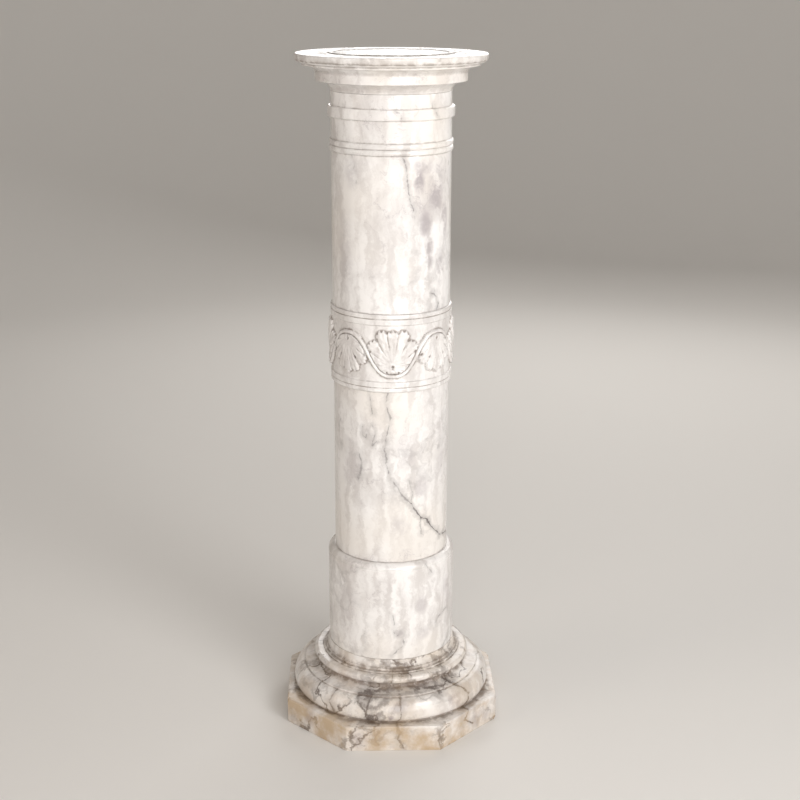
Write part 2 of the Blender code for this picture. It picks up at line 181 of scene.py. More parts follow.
# Eye at the heart of a leaf, and the drilled holes
EYE_RADIUS = 3.6 * MM
EYE_RIM_RELIEF = 1.0 * MM
EYE_RIM_WIDTH = 1.2 * MM
EYE_HOLE_RADIUS = 1.8 * MM
EYE_HOLE_SHARE = 0.80
HOLE_DEPTH = 4.6 * MM

# Cup between a leaf and the stem, and the crescent cut under it
CUP_DROP = 7.0 * MM
CUP_HALF_WIDTH = 8.0 * MM
CUP_HALF_HEIGHT = 4.2 * MM
CUP_RELIEF = 4.2 * MM
CRESCENT_RADIUS = 5.6 * MM
CRESCENT_WIDTH = 0.9 * MM
CRESCENT_DEPTH = 3.6 * MM
CRESCENT_STRETCH = 1.6
CRESCENT_RISE = 1.0 * MM

# Cap: heights and projections of its mouldings from its foot up
CAP_COVE_HEIGHT = 14.7 * MM
FASCIA_HEIGHT = 12.1 * MM
CAVETTO_HEIGHT = 10.2 * MM
CAP_FILLET_HEIGHT = 3.4 * MM
UNDER_RIM_HEIGHT = 3.5 * MM
RIM_HEIGHT = 10.0 * MM
CAP_COVE_PROJECTION = 22.8 * MM
CAVETTO_PROJECTION = 19.3 * MM
UNDER_RIM_PROJECTION = 8.6 * MM
RIM_PROJECTION = 2.4 * MM
TOP_DISC_RADIUS = 93.5 * MM
TOP_DISC_RISE = 1.1 * MM
TOP_DISC_RIM = 8.0 * MM
TOP_DISC_SINK = 0.6 * MM
TOP_INNER_RING = 0.5 * TOP_DISC_RADIUS
RIM_EDGE = 1.6 * MM
RIM_NOTCH_TURN = 26.4

# Painted dark reflection on the top of the cap and on its rim, and how wide the rim's outermost strip is
TOP_PAINTED_REFLECTION = 0.44
RIM_PAINTED_REFLECTION = 0.40
RIM_STRIP = 2.4 * MM

# Radii in metres at which each block's drawn veins are unrolled
BASE_UNROLLED = 0.150
DRUM_UNROLLED = 0.102
SHAFT_UNROLLED = 0.0908
BAND_UNROLLED = 0.0955
CAP_UNROLLED = 0.125

# Floor in metres: its flat part, the curve that turns it up, and the wall above
FLOOR_RADIUS = 3.0
FLOOR_CURVE = 2.0
FLOOR_WALL = 2.5

# Camera of the photograph, in degrees and metres, with its lens in millimetres
CAMERA_TURN = -1.8
CAMERA_ASIDE = 0.0142
CAMERA_DISTANCE = 2.14
CAMERA_HEIGHT = 1.1902
CAMERA_PITCH = 17.15
CAMERA_ROLL = 0.157
CAMERA_LENS = 63.29


class Outline:
    """Outline of a turned block as (radius, height) points, drawn from its foot upwards."""

    def __init__(self, radius, height):
        self.points = [(radius, height)]

    def line(self, out=0.0, up=0.0):
        radius, height = self.points[-1]
        self.points.append((radius + out, height + up))
        return self

    def curve(self, out, up, rises_first, steps=CURVE_STEPS):
        """Quarter curve. It leaves upright and arrives level, or the other way round."""
        radius, height = self.points[-1]
        for step in range(1, steps + 1):
            turn = math.pi / 2 * step / steps
            slow, quick = 1 - math.cos(turn), math.sin(turn)
            across, along = (slow, quick) if rises_first else (quick, slow)
            self.points.append((radius + out * across, height + up * along))
        return self

    def swell(self, out, up, steps=CURVE_STEPS):
        """Half-round bead, or a groove where out is negative, back to the same radius."""
        radius, height = self.points[-1]
        for step in range(1, steps + 1):
            turn = math.pi * step / steps
            self.points.append((radius + out * math.sin(turn), height + up * (1 - math.cos(turn)) / 2))
        return self

    def rise(self, top, radius):
        """Plain shaft up to a level, slightly tapered."""
        self.points.append((radius, top))
        return self

    def refined(self):
        """The same outline with rows added near the ends of its long straight parts, to hold the dirt and
        painted shade.
        """
        points = [self.points[0]]
        for start, end in zip(self.points, self.points[1:]):
            length = math.dist(start, end)
            near = DIRT_AND_SHADE_ROWS if length > LONG_STRAIGHT else ()
            for away in near + tuple(length - row for row in reversed(near)):
                share = away / length
                points.append(tuple(a + (b - a) * share for a, b in zip(start, end)))
            points.append(end)
        return points


def turned_block(name, points):
    """Turns a block from a disc at its foot: ring after ring is pulled up and widened along the outline."""
    bpy.ops.object.select_all(action="DESELECT")
    radius, height = points[0]
    bpy.ops.mesh.primitive_circle_add(
        vertices=TURNED_SIDES, radius=radius, fill_type="NGON", location=(0, 0, height),
    )
    block = bpy.context.object
    block.name = name
    bpy.ops.object.transform_apply(location=True, rotation=False, scale=False)
    bpy.ops.object.mode_set(mode="EDIT")
    bpy.ops.mesh.select_all(action="SELECT")
    for next_radius, next_height in points[1:]:
        pull_ring(next_height - height, next_radius / radius, next_height)
        radius, height = next_radius, next_height
    bpy.ops.mesh.select_all(action="SELECT")
    bpy.ops.mesh.normals_make_consistent(inside=False)
    bpy.ops.object.mode_set(mode="OBJECT")
    return block


def pull_ring(up, widen, level):
    """Extrudes what is selected, lifts it and widens it round the axis."""
    bpy.ops.mesh.extrude_region_move(TRANSFORM_OT_translate={"value": (0, 0, up)})
    bpy.ops.transform.resize(value=(widen, widen, 1), center_override=(0, 0, level))


def make_active(piece):
    bpy.ops.object.select_all(action="DESELECT")
    piece.select_set(True)
    bpy.context.view_layer.objects.active = piece


def soften(piece, width):
    """Rounds the sharp arrises a little, as years of handling do."""
    make_active(piece)
    bevel = piece.modifiers.new("worn arrises", "BEVEL")
    bevel.width = width
    bevel.segments = 2
    bevel.limit_method = "ANGLE"
    bevel.angle_limit = math.radians(WORN_ANGLE)
    bpy.ops.object.modifier_apply(modifier=bevel.name)


def join_or_cut(piece, other, operation):
    """Joins another solid to a piece, or cuts it out, and removes the other."""
    make_active(piece)
    boolean = piece.modifiers.new("joined", "BOOLEAN")
    boolean.operation = operation
    boolean.object = other
    boolean.solver = "EXACT"
    bpy.ops.object.modifier_apply(modifier=boolean.name)
    bpy.data.objects.remove(other)


def chip(piece, place, size, seed):
    """Breaks a rough flake out of an arris: a crumpled ball is cut from the stone."""
    rough = random.Random(seed)
    bpy.ops.object.select_all(action="DESELECT")
    bpy.ops.mesh.primitive_ico_sphere_add(subdivisions=2, radius=1.0, location=(0, 0, 0))
    flake = bpy.context.object
    for corner in flake.data.vertices:
        corner.co *= rough.uniform(*FLAKE_REACH)
    flake.data.transform(Matrix.LocRotScale(Vector(place), None, Vector(size)))
    join_or_cut(piece, flake, "DIFFERENCE")


def break_chips(piece, chips):
    """Breaks several chips, each given as its seed, its place and its size in millimetres."""
    for seed, place, size in chips:
        chip(piece, place, tuple(length * MM for length in size), seed)


def smooth_faces(piece, angle=ROUND_ANGLE):
    make_active(piece)
    bpy.ops.object.shade_smooth_by_angle(angle=math.radians(angle))


def mark_dirt_and_shade(piece, outlines, reach=DIRT_AND_SHADE_REACH):
    """Stores how much dirt and painted shade each point of a piece gets, in the inner corners of the
    outlines.
    """
    store_dirt_and_shade(piece.data, corner_dirt_and_shade(piece.data, outlines, reach))


def corner_dirt_and_shade(mesh, outlines, reach):
    """Dirt and painted shade at each point of a mesh: more where an inner corner of an outline is near and
    turns sharply.
    """
    places = np.empty(len(mesh.vertices) * 3)
    mesh.vertices.foreach_get("co", places)
    x, y, z = places.reshape(-1, 3).T
    radius = np.hypot(x, y)
    dirt_and_shade = np.zeros_like(radius)
    for outline in outlines:
        points = outline.points
        for before, corner, after in zip(points, points[1:], points[2:]):
            first = Vector(corner) - Vector(before)
            second = Vector(after) - Vector(corner)
            if first.length > 0 and second.length > 0:
                inward = min(DEEPEST_TURN, max(0.0, first.angle_signed(second)))
                # Dirt and painted shade, darker the sharper the inner corner and the nearer to it
                dirt_and_shade += inward * np.exp(-np.hypot(radius - corner[0], z - corner[1]) / reach)
    return dirt_and_shade


def store_dirt_and_shade(mesh, dirt_and_shade):
    layer = mesh.attributes.get("dirt_and_shade") or mesh.attributes.new("dirt_and_shade", "FLOAT", "POINT")
    layer.data.foreach_set("value", np.clip(dirt_and_shade, 0.0, 1.0).astype(np.float32))


def base_radii():
    """Radii of the base's mouldings from the drum's foot outwards: seat, cove, high fillet, bead, low fillet
    and torus."""
    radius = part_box("foot_drum")[1].x + SEAT_LIP
    radii = [radius]
    steps = (COVE_PROJECTION, HIGH_FILLET_PROJECTION, BEAD_PROJECTION, SCOTIA_PROJECTION, TORUS_PROJECTION)
    for projection in steps:
        radius += projection
        radii.append(radius)
    return radii


def base_outline(plinth_top):
    """Outline of the base's mouldings, from inside the plinth up to the seat of the drum."""
    seat, cove, high_fillet, bead, low_fillet, torus = base_radii()
    outline = Outline(torus - TORUS_NECK, plinth_top / 2)
    outline.line(up=plinth_top / 2 + QUIRK_HEIGHT)
    outline.curve(TORUS_NECK, TORUS_WIDEST, rises_first=False)
    outline.curve(low_fillet - torus, TORUS_HEIGHT - TORUS_WIDEST, rises_first=True, steps=2 * CURVE_STEPS)
    outline.line(up=LOW_FILLET_HEIGHT)
    hollow = SCOTIA_HOLLOW_SHARE * SCOTIA_HEIGHT
    outline.curve(bead - SCOTIA_DEPTH - low_fillet, hollow, rises_first=False)
    outline.line(out=SCOTIA_DEPTH - BEAD_NECK, up=SCOTIA_HEIGHT - hollow)
    outline.swell(BEAD_NECK, BEAD_HEIGHT, steps=2 * CURVE_STEPS)
    outline.line(out=high_fillet - bead + BEAD_NECK).line(up=STEP_HEIGHT)
    outline.line(out=-HIGH_FILLET_PROJECTION).line(up=HIGH_FILLET_HEIGHT)
    outline.curve(seat - cove, COVE_HEIGHT, rises_first=False)
    return outline


def octagonal_plinth(half, height):
    """A square slab with its four corners cut off, its arrises softened."""
    bpy.ops.object.select_all(action="DESELECT")
    bpy.ops.mesh.primitive_cube_add(size=1.0, location=(0, 0, height / 2))
    slab = bpy.context.object
    slab.scale = (2 * half, 2 * half, height)
    bpy.ops.object.transform_apply(location=True, rotation=False, scale=True)
    bpy.ops.object.mode_set(mode="EDIT")
    bpy.ops.mesh.select_mode(type="EDGE")
    bpy.ops.mesh.select_all(action="DESELECT")
    bpy.ops.object.mode_set(mode="OBJECT")
    corners = slab.data.vertices
    for edge in slab.data.edges:
        first, second = (corners[index].co for index in edge.vertices)
        edge.select = abs(first.z - second.z) > height / 2
    bpy.ops.object.mode_set(mode="EDIT")
    bpy.ops.mesh.bevel(offset=half - PLINTH_FLAT / 2, segments=1, affect="EDGES")
    bpy.ops.object.mode_set(mode="OBJECT")
    soften(slab, PLINTH_WEAR)
    return slab


def base_block():
    """Octagonal plinth and turned mouldings in one block, with chips along its arrises."""
    low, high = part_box("base")
    mouldings_height = (
        QUIRK_HEIGHT + TORUS_HEIGHT + LOW_FILLET_HEIGHT + SCOTIA_HEIGHT + BEAD_HEIGHT
        + STEP_HEIGHT + HIGH_FILLET_HEIGHT + COVE_HEIGHT
    )
    plinth_top = high.z - mouldings_height
    outline = base_outline(plinth_top)
    mouldings = turned_block("base_mouldings", outline.refined())
    soften(mouldings, MOULDINGS_WEAR)
    block = octagonal_plinth(high.x, plinth_top)
    block.name = "base_block"
    join_or_cut(block, mouldings, "UNION")
    corner = PLINTH_FLAT / 2
    break_chips(block, (
        (1, (corner + 1 * MM, -high.x, plinth_top), (5, 3, 4)),
        (2, (-corner, -high.x, 2 * MM), (6, 3, 5)),
        (3, (-high.x, -corner, plinth_top - 1 * MM), (4, 6, 4)),
        (4, (high.x, -corner, 3 * MM), (3, 5, 5)),
        (5, (high.x, corner, plinth_top), (4, 7, 4)),
        (6, (-20 * MM, high.x, plinth_top), (9, 3, 3)),
    ))
    smooth_faces(block)
    inset = outline.points[0][0] - high.x
    plinth_corner = Outline(high.x, plinth_top).line(out=inset).line(up=QUIRK_HEIGHT)
    # Dirt and painted shade in the inner corners of the mouldings and where they meet the plinth
    mark_dirt_and_shade(block, [outline, plinth_corner], reach=PLINTH_DIRT_AND_SHADE_REACH)
    return block


def drum_block():
    """Plain drum with a fine groove under its rounded shoulder."""
    low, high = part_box("foot_drum")
    shaft_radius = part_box("lower_shaft")[1].x
    outline = Outline(high.x, low.z)
    shoulder = high.z - SHOULDER_HEIGHT
    outline.rise(shoulder - DRUM_GROOVE_HEIGHT, high.x)
    outline.swell(-DRUM_GROOVE_DEPTH, DRUM_GROOVE_HEIGHT, steps=SMALL_STEPS)
    outline.curve(shaft_radius + SHOULDER_LIP - high.x, SHOULDER_HEIGHT, rises_first=True)
    block = turned_block("foot_drum_block", outline.refined())
    soften(block, DRUM_WEAR)
    smooth_faces(block)
    # Dirt and painted shade where the drum meets the blocks below and above it
    mark_dirt_and_shade(block, [joint_corner(high.x, low.z), joint_corner(shaft_radius, high.z)])
    return block


def joint_corner(radius, height):
    """The inner corner between a block's top and the narrower block that stands on it."""
    return Outline(radius + JOINT_LEG, height).line(out=-JOINT_LEG).line(up=JOINT_LEG)


def lower_shaft_block():
    """Plain shaft between the drum and the carved band."""
    low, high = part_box("lower_shaft")
    outline = Outline(high.x, low.z).rise(high.z, high.x - SHAFT_TAPER)
    block = turned_block("lower_shaft_block", outline.refined())
    soften(block, LOWER_SHAFT_WEAR)
    smooth_faces(block)
    under_band = Outline(high.x - SHAFT_TAPER, high.z - JOINT_LEG).line(up=JOINT_LEG).line(out=JOINT_LEG)
    # Dirt and painted shade at the joints below and above the shaft
    mark_dirt_and_shade(block, [joint_corner(high.x, low.z), under_band])
    return block


def upper_shaft_block():
    """Plain shaft between the carved band and the cap, with a pair of round rings and a single flat one."""
    low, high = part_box("upper_shaft")
    top_radius = high.x - SINGLE_RING_PROJECTION
    outline = Outline(top_radius + SHAFT_TAPER, low.z)
    outline.rise(low.z + PAIRED_RING_FOOT, top_radius)
    for bead in range(2):
        outline.swell(PAIRED_RING_PROJECTION, PAIRED_RING_HEIGHT / 2)
    outline.rise(low.z + SINGLE_RING_FOOT, top_radius)
    outline.line(out=SINGLE_RING_SQUARE)
    outline.curve(SINGLE_RING_ROUNDED, SINGLE_RING_EDGE, rises_first=False, steps=SMALL_STEPS)
    outline.line(up=SINGLE_RING_HEIGHT - 2 * SINGLE_RING_EDGE)
    outline.curve(-SINGLE_RING_ROUNDED, SINGLE_RING_EDGE, rises_first=True, steps=SMALL_STEPS)
    outline.line(out=-SINGLE_RING_SQUARE)
    outline.rise(high.z, top_radius)
    block = turned_block("upper_shaft_block", outline.refined())
    soften(block, UPPER_SHAFT_WEAR)
    smooth_faces(block)
    # Dirt and painted shade in the inner corners of the rings and at the joint below
    mark_dirt_and_shade(block, [outline, joint_corner(top_radius + SHAFT_TAPER, low.z)])
    return block


def cap_block():
    """Round moulded top with a low disc on it, chips in its rim and a painted dark reflection on its upper
    side.
    """
    low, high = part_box("cap")
    outline = Outline(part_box("upper_shaft")[1].x - SINGLE_RING_PROJECTION, low.z)
    outline.curve(CAP_COVE_PROJECTION, CAP_COVE_HEIGHT, rises_first=True)
    outline.line(up=FASCIA_HEIGHT)
    outline.curve(CAVETTO_PROJECTION, CAVETTO_HEIGHT, rises_first=True)
    outline.line(up=CAP_FILLET_HEIGHT)
    outline.curve(UNDER_RIM_PROJECTION, UNDER_RIM_HEIGHT, rises_first=False)
    outline.curve(RIM_PROJECTION, RIM_HEIGHT - RIM_EDGE, rises_first=False)
    outline.curve(-RIM_EDGE, RIM_EDGE, rises_first=True, steps=SMALL_STEPS)
    radius = outline.points[-1][0]
    outline.line(out=TOP_DISC_RADIUS + TOP_DISC_RISE - radius)
    outline.line(out=-TOP_DISC_RISE, up=TOP_DISC_RISE)
    outline.line(out=-TOP_DISC_RIM).line(out=-TOP_DISC_SINK, up=-TOP_DISC_SINK)
    outline.line(out=-TOP_INNER_RING)
    block = turned_block("cap_block", outline.refined())
    soften(block, CAP_WEAR)
    notch = math.radians(RIM_NOTCH_TURN)
    rim = high.x
    break_chips(block, (
        (7, (rim * math.sin(notch), -rim * math.cos(notch), high.z - 3 * MM), (3, 3, 4)),
        (8, (rim * 0.70, rim * 0.72, high.z - 1 * MM), (6, 5, 2.5)),
        (9, (-rim, 4 * MM, high.z), (3, 7, 3)),
    ))
    smooth_faces(block)
    # Dirt and painted shade in the inner corners of the mouldings, and a painted dark reflection over the top
    # and the rim, a little weaker on the rim's outermost strip
    dirt_and_shade = corner_dirt_and_shade(block.data, [outline], DIRT_AND_SHADE_REACH)
    for corner in block.data.vertices:
        if corner.co.z > high.z - RIM_HEIGHT - TOP_DISC_RISE:
            outside = math.hypot(corner.co.x, corner.co.y) > high.x - RIM_STRIP
            dirt_and_shade[corner.index] += RIM_PAINTED_REFLECTION if outside else TOP_PAINTED_REFLECTION
    store_dirt_and_shade(block.data, dirt_and_shade)
    return block


def eased(value):
    """0 below 0, 1 above 1 and a smooth slope between them."""
    value = np.clip(value, 0.0, 1.0)
    return value * value * (3 - 2 * value)


def hump(away):
    """1 at 0, falling smoothly to almost nothing at 2."""
    return np.exp(-(away**2))


def frieze():
    """Lower and upper edge of the carved part of the band, between its two borders."""
    low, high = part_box("vine_band")
    border_height = BORDER_BEAD_HEIGHT + BORDER_GROOVE_HEIGHT + BORDER_FLAT_HEIGHT + BORDER_SLOPE_HEIGHT
    return low.z + border_height, high.z - border_height


def stem_shape(across, up):
    """Relief of the running stem, and how far outside its edge a place lies."""
    nudge = STEM_WIDTH / 8
    bottom, top = frieze()

    def middle(place):
        wave = -np.cos(VINE_WAVES * place / ground_radius())
        squared = wave * (1 + VINE_SQUARENESS * (1 - wave * wave))
        return (bottom + top) / 2 - VINE_LOWERED + VINE_SWING * squared

    slope = (middle(across + nudge) - middle(across - nudge)) / (2 * nudge)
    aside = np.abs(up - middle(across)) / np.hypot(1.0, slope)
    share = np.clip(aside / (STEM_WIDTH / 2), 0.0, 1.0)
    return STEM_RELIEF * np.sqrt(1 - share**3), aside - STEM_WIDTH / 2


def ground_radius():
    """Radius of the flat ground that the vine stands on."""
    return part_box("lower_shaft")[1].x - SHAFT_TAPER + GROUND_PROJECTION


def leaf(right, up, lobes, holes):
    """Relief of a leaf round its heart: a broad blade with blunt toothed lobes, a sunk rib down the middle of
    each, a fold between two, the drilled holes at the ends of the folds, and the eye."""
    turn = np.degrees(np.arctan2(right, up))
    away = np.hypot(right, up)
    edge = np.full_like(away, BLADE_LEAST)
    nearest = np.full_like(away, np.inf)
    for angle, reach, spread in lobes:
        for side in (1, -1) if angle else (1,):
            aside = np.abs(turn - side * angle) / spread
            tip = reach * MM * (1 - LOBE_DROOP * np.clip(aside, 0, LOBE_END) ** LOBE_POWER)
            edge = np.maximum(edge, np.where(aside < LOBE_END, tip, BLADE_LEAST))
            nearest = np.minimum(nearest, aside)
    edge *= 1 + TOOTH_SHARE * np.cos(np.radians(turn) * TEETH_ROUND)
    edge = np.maximum(edge, BLADE_LEAST)
    share = np.clip(away / edge, 0.0, 1.0)
    crown = BLADE_RELIEF + BLADE_LIFT * share + BLADE_SWELL * share * (1 - share)
    fold = eased((nearest - 0.62) / 0.38) * eased((share - 0.22) / 0.5)
    rib = hump(nearest * edge * share / RIB_WIDTH) * eased((share - 0.12) / 0.2)
    crown *= 1 - FOLD_SHARE * fold
    crown -= RIB_DEPTH * rib * (1 - share**2)
    crown += RIPPLE_DEPTH * np.cos(2 * math.pi * (4.0 * share - 1.1 * nearest)) * share
    crown *= eased((edge - away) / BLADE_ROUNDING)
    crown += EYE_RIM_RELIEF * hump((away - EYE_RADIUS) / EYE_RIM_WIDTH)
    crown *= 1 - EYE_HOLE_SHARE * hump(away / EYE_HOLE_RADIUS)
    for angle, distance, radius in holes:
        for side in (1, -1):
            place = math.radians(side * angle)
            hole = np.hypot(right - distance * MM * math.sin(place), up - distance * MM * math.cos(place))
            crown -= HOLE_DEPTH * hump(hole / (radius * MM))
    return crown


# Lobes of the two kinds of leaf as (angle, reach, half spread), and the holes drilled between them as
# (angle, distance, radius), in degrees and millimetres from the heart
UPRIGHT_LOBES = (
    (0, 56.0, 11), (19, 58.5, 11), (43, 51.0, 14), (68, 39.0, 14), (97, 27.0, 17), (132, 17.0, 20),
)
UPRIGHT_HOLES = ((31, 48.0, 2.3), (56, 41.5, 1.8), (82, 30.0, 1.4), (9, 56.5, 1.5))
HANGING_LOBES = (
    (0, 54.0, 10), (17, 52.0, 11), (39, 46.5, 13), (63, 36.0, 14), (94, 24.0, 18), (130, 16.0, 20),
)
HANGING_HOLES = ((8.5, 52.0, 1.9), (28, 45.5, 2.2), (51, 36.5, 2.0), (79, 25.0, 1.5), (27.5, 31.0, 1.4))


def calyx(right, up):
    """Small cup between a leaf's heart and the stem, and the depth of the dark crescent cut under it."""
    above = up + CUP_DROP
    cup = np.clip(1 - (right / CUP_HALF_WIDTH) ** 2 - (above / CUP_HALF_HEIGHT) ** 2, 0.0, 1.0)
    away = np.hypot(right / CRESCENT_STRETCH, above + CRESCENT_RISE)
    crescent = hump((away - CRESCENT_RADIUS) / CRESCENT_WIDTH) * (above < 0)
    return CUP_RELIEF * np.sqrt(cup), CRESCENT_DEPTH * crescent


def carving(across, up):
    """Relief of the whole frieze over its ground, for arrays of places on the unrolled band."""
    bottom, top = frieze()
    wave_length = 2 * math.pi * ground_radius() / VINE_WAVES
    leaves = np.zeros_like(across)
    cuts = np.zeros_like(across)
    for shift, direction, lobes, holes in (
        (0.0, 1, UPRIGHT_LOBES, UPRIGHT_HOLES), (0.5, -1, HANGING_LOBES, HANGING_HOLES),
    ):
        heart = bottom + LEAF_ROOT_INSET if direction > 0 else top - LEAF_ROOT_INSET
        right = (across + (0.5 - shift) * wave_length) % wave_length - wave_length / 2
        above = direction * (up - heart)
        leaves = np.maximum(leaves, leaf(right, above, lobes, holes))
        cup, crescent = calyx(right, above)
        leaves = np.maximum(leaves, cup)
        cuts = np.maximum(cuts, crescent)
    stem, outside = stem_shape(across, up)
    leaves = (leaves - cuts) * eased((outside + 0.3 * MM) / STEM_GAP)
    stem = np.where(outside < 0, stem, 0.0)
    turn = across / ground_radius()
    tool_marks = TOOL_MARK_DEPTH * np.sin(39 * turn + 3 * np.sin(up * 230)) * np.sin(up * 520 + 14 * turn)
    return np.maximum(np.maximum(leaves, stem), -DEEPEST_CUT) + tool_marks


def border_outline(neck):
    """Border of the frieze from its outer end to the carving: a bead, a groove, a flat and a slope."""
    ground = ground_radius()
    border = ground - GROUND_PROJECTION + BORDER_PROJECTION
    outline = Outline(neck, 0.0)
    outline.swell(border - neck, BORDER_BEAD_HEIGHT)
    outline.line(out=border - BORDER_GROOVE_DEPTH - neck, up=BORDER_GROOVE_HEIGHT / 2)
    outline.line(out=BORDER_GROOVE_DEPTH, up=BORDER_GROOVE_HEIGHT / 2)
    outline.line(up=BORDER_FLAT_HEIGHT)
    outline.curve(ground - border, BORDER_SLOPE_HEIGHT, rises_first=False, steps=SMALL_STEPS)
    return outline


def carved_band():
    """Wraps a fine grid round the band, carves the vine into it and turns the two borders at its edges."""
    bottom, top = frieze()
    ground = ground_radius()
    bpy.ops.object.select_all(action="DESELECT")
    bpy.ops.mesh.primitive_grid_add(x_subdivisions=BAND_COLUMNS, y_subdivisions=BAND_ROWS, size=1.0)
    band = bpy.context.object
    band.name = "carved_band"
    mesh = band.data
    places = np.empty(len(mesh.vertices) * 3)
    mesh.vertices.foreach_get("co", places)
    places = places.reshape(-1, 3)
    across = places[:, 0] * 2 * math.pi * ground
    share = places[:, 1] + 0.5
    up = bottom + share * (top - bottom)
    relief = carving(across, up) * eased(share / RELIEF_FADE) * eased((1 - share) / RELIEF_FADE)
    angle = across / ground
    places[:, 0] = (ground + relief) * np.sin(angle)
    places[:, 1] = -(ground + relief) * np.cos(angle)
    places[:, 2] = up
    mesh.vertices.foreach_set("co", places.ravel())
    # Painted shade in the carving's hollows, where the blurred relief stands higher than the relief, over a
    # little dirt on the whole frieze
    hollows = blurred(relief.reshape(BAND_ROWS + 1, BAND_COLUMNS + 1), HOLLOW_BLUR).ravel() - relief
    store_dirt_and_shade(mesh, GROUND_GRIME + hollows / HOLLOW_DEPTH)
    bpy.ops.object.mode_set(mode="EDIT")
    bpy.ops.mesh.select_mode(type="VERT")
    bpy.ops.mesh.select_all(action="SELECT")
    bpy.ops.mesh.remove_doubles(threshold=SEAM_DISTANCE)
    neck = ground + (BORDER_PROJECTION - GROUND_PROJECTION) / 2
    outline = border_outline(neck)
    turn_border(band, bottom, outline, -1)
    turn_border(band, top, outline, 1)
    bpy.ops.mesh.select_all(action="SELECT")
    bpy.ops.mesh.normals_make_consistent(inside=False)
    bpy.ops.object.mode_set(mode="OBJECT")
    smooth_faces(band, CARVED_ANGLE)
    # Dirt and painted shade in the inner corners of the borders
    mark_borders(band, outline)
    return band


def mark_borders(band, outline):
    """Adds the dirt and painted shade in the inner corners of both borders to the dirt and painted shade of
    the carving.
    """
    mesh = band.data
    low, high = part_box("vine_band")
    bottom, top = frieze()
    lower = Outline(*outline.points[0])
    upper = Outline(*outline.points[-1])
    lower.points = [(radius, low.z + height) for radius, height in outline.points]
    upper.points = [(radius, high.z - height) for radius, height in reversed(outline.points)]
    seat = joint_corner(outline.points[0][0], low.z)
    heights = np.empty(len(mesh.vertices) * 3)
    mesh.vertices.foreach_get("co", heights)
    heights = heights.reshape(-1, 3)[:, 2]
    carved = np.empty(len(mesh.vertices), dtype=np.float32)
    mesh.attributes["dirt_and_shade"].data.foreach_get("value", carved)
    outside = (heights < bottom) | (heights > top)
    borders = BORDER_DIRT_AND_SHADE * corner_dirt_and_shade(mesh, [lower, upper, seat], BORDER_DIRT_AND_SHADE_REACH)
    store_dirt_and_shade(mesh, np.where(outside, borders, carved))


def blurred(grid, steps):
    """Averages a grid with its neighbours a few times over."""
    for _ in range(steps):
        padded = np.pad(grid, 2, mode="edge")
        grid = (padded[:-4, 2:-2] + padded[4:, 2:-2] + padded[2:-2, :-4] + padded[2:-2, 4:] + grid) / 5
    return grid


def turn_border(band, level, outline, direction):
    """Turns a border outwards from the frieze's edge at a level, and closes its end."""
    bpy.ops.mesh.select_all(action="DESELECT")
    bpy.ops.object.mode_set(mode="OBJECT")
    for corner in band.data.vertices:
        corner.select = abs(corner.co.z - level) < LEVEL_DISTANCE
    bpy.ops.object.mode_set(mode="EDIT")
    points = outline.points[::-1]
    radius, height = points[0]
    for next_radius, next_height in points[1:]:
        level += direction * (height - next_height)
        pull_ring(direction * (height - next_height), next_radius / radius, level)
        radius, height = next_radius, next_height
    pull_ring(0.0, 0.5, level)
    bpy.ops.mesh.merge(type="CENTER")


class Value:
    """One number of a shader. Python expressions on it add Math nodes."""

    def __init__(self, paint, socket):
        self.paint = paint
        self.socket = socket

    def __add__(self, other):
        return self.paint.maths("ADD", self, other)

    __radd__ = __add__

    def __sub__(self, other):
        return self.paint.maths("SUBTRACT", self, other)

    def __rsub__(self, other):
        return self.paint.maths("SUBTRACT", other, self)

    def __mul__(self, other):
        return self.paint.maths("MULTIPLY", self, other)

    __rmul__ = __mul__


class Paint:
    """One material and the few ways in which its nodes are made."""

    def __init__(self, name):
        self.material = bpy.data.materials.new(name)
        self.material.use_nodes = True
        self.tree = self.material.node_tree
        self.shader = self.tree.nodes["Principled BSDF"]
        self.place = self.node("ShaderNodeTexCoord").outputs["Object"]

    def node(self, kind, settings=None, inputs=None):
        """Any node: its settings first, then the values or links of its sockets."""
        node = self.tree.nodes.new(kind)
        for name, setting in (settings or {}).items():
            setattr(node, name, setting)
        for name, value in (inputs or {}).items():
            self.feed(node.inputs[name], value)
        return node

    def feed(self, socket, value):
        if isinstance(value, Value):
            value = value.socket
        if isinstance(value, bpy.types.NodeSocket):
            self.tree.links.new(value, socket)
        else:
            socket.default_value = value

    def maths(self, operation, first, second=0.0, clamp=False):
        settings = {"operation": operation, "use_clamp": clamp}
        return Value(self, self.node("ShaderNodeMath", settings, {0: first, 1: second}).outputs[0])

    def vectors(self, operation, first, second, output="Vector"):
        inputs = {0: first, 1: second}
        return self.node("ShaderNodeVectorMath", {"operation": operation}, inputs).outputs[output]

    def scaled(self, vector, factor):
        inputs = {0: vector, "Scale": factor}
        return self.node("ShaderNodeVectorMath", {"operation": "SCALE"}, inputs).outputs[0]

    def noise(self, place, scale, detail=3.0, roughness=0.5, output="Fac"):
        inputs = {"Vector": place, "Scale": scale, "Detail": detail, "Roughness": roughness}
        socket = self.node("ShaderNodeTexNoise", None, inputs).outputs[output]
        return Value(self, socket) if output == "Fac" else socket

    def smooth(self, value, low, high):
        """0 below the low value, 1 above the high one, and a smooth slope between them."""
        settings = {"interpolation_type": "SMOOTHSTEP"}
        inputs = {"Value": value, "From Min": low, "From Max": high}
        return Value(self, self.node("ShaderNodeMapRange", settings, inputs).outputs[0])

    def mixed(self, factor, first, second):
        inputs = {0: factor, 6: first, 7: second}
        return self.node("ShaderNodeMix", {"data_type": "RGBA"}, inputs).outputs[2]


def colour(red, green, blue):
    return (red, green, blue, 1.0)


